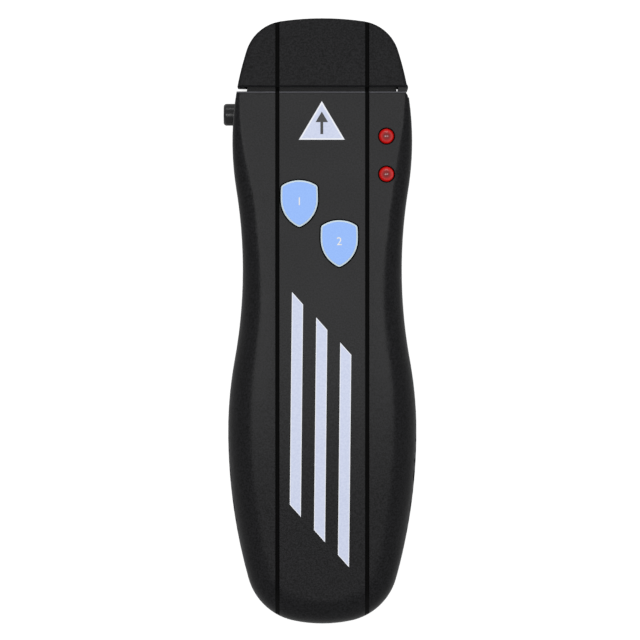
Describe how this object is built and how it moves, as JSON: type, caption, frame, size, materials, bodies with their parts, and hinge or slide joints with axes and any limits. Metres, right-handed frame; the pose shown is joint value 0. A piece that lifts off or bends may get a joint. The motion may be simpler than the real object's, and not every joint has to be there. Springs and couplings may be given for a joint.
{
  "type": "visual fault locator",
  "caption": "Hand-held fibre fault finder: waisted two-shell case, flip cap over a laser port and torch lamp, two press keys, side release button and sliding battery door.",
  "frame": {"origin": "on the flat back face, on the case's centre plane and midway along the whole length with the cap shut", "axes": "+Y along the case towards the flip cap, +Z out of the front face with the keys, +X towards the hinge side"},
  "size_m": [0.0388, 0.1216, 0.022],
  "materials": {
    "case_black": "matte moulded texture",
    "button_black": "satin",
    "key_blue": "satin",
    "switch_black": "matte",
    "switch_grey": "matte",
    "steel": "drawn",
    "tinned_wire": "tinned",
    "seal_rubber": "matte",
    "board_green": "solder mask",
    "chip_black": "moulded",
    "lens_red": "clear epoxy tint",
    "nickel": "nickel plate",
    "ceramic_white": "ground",
    "brass": "turned",
    "diode_gold": "gold flash",
    "clear_lens": "clear",
    "cell_jacket": "plain jacket"
  },
  "bodies": {
    "housing": {"front_cover": "case_black", "rear_cover": "case_black", "case_screws": "steel", "cap_hinge_pin": "steel", "cap_torsion_spring": "steel", "release_spring": "steel", "lamp_switch": "switch_black", "laser_switch": "switch_black", "circuit_board": "board_green", "board_screws": "steel", "driver_chip": "chip_black", "indicator_led_upper": "lens_red", "indicator_led_lower": "lens_red", "led_legs": "tinned_wire", "port_adapter": "nickel", "ferrule_sleeve": "ceramic_white", "laser_barrel": "brass", "laser_diode": "diode_gold", "laser_leads": "tinned_wire", "collimating_lens": "clear_lens", "torch_led": "clear_lens", "torch_bezel": "nickel", "battery_left": "cell_jacket", "battery_right": "cell_jacket", "battery_springs": "steel", "positive_contact": "steel", "negative_contact": "steel", "bridge_contact": "steel"},
    "cap": {"flip_cap": "case_black", "cap_seal": "seal_rubber"},
    "release": {"release_button": "button_black"},
    "lamp_press": {"lamp_key": "key_blue", "lamp_switch_button": "switch_grey"},
    "laser_press": {"laser_key": "key_blue", "laser_switch_button": "switch_grey"},
    "door": {"battery_door": "case_black"}
  },
  "joints": [
    {"name": "cap_hinge", "type": "hinge", "parent": "housing", "child": "cap", "pos_m": [0.0162, 0.04685, 0.0103], "axis": [0, 0, -1], "range_deg": [0, 100], "deforming": ["cap_torsion_spring"]},
    {"name": "release_slide", "type": "slide", "parent": "housing", "child": "release", "axis": [1, 0, 0], "range_m": [0, 0.001], "stiffness_N_per_m": 500, "springref_m": -0.001, "deforming": ["release_spring"]},
    {"name": "lamp_key_slide", "type": "slide", "parent": "housing", "child": "lamp_press", "axis": [0, 0, -1], "range_m": [0, 0.00035], "stiffness_N_per_m": 2500, "springref_m": -0.0002},
    {"name": "laser_key_slide", "type": "slide", "parent": "housing", "child": "laser_press", "axis": [0, 0, -1], "range_m": [0, 0.00035], "stiffness_N_per_m": 2500, "springref_m": -0.0002},
    {"name": "door_slide", "type": "slide", "parent": "housing", "child": "door", "axis": [0, -1, 0], "range_m": [0, 0.056]}
  ]
}
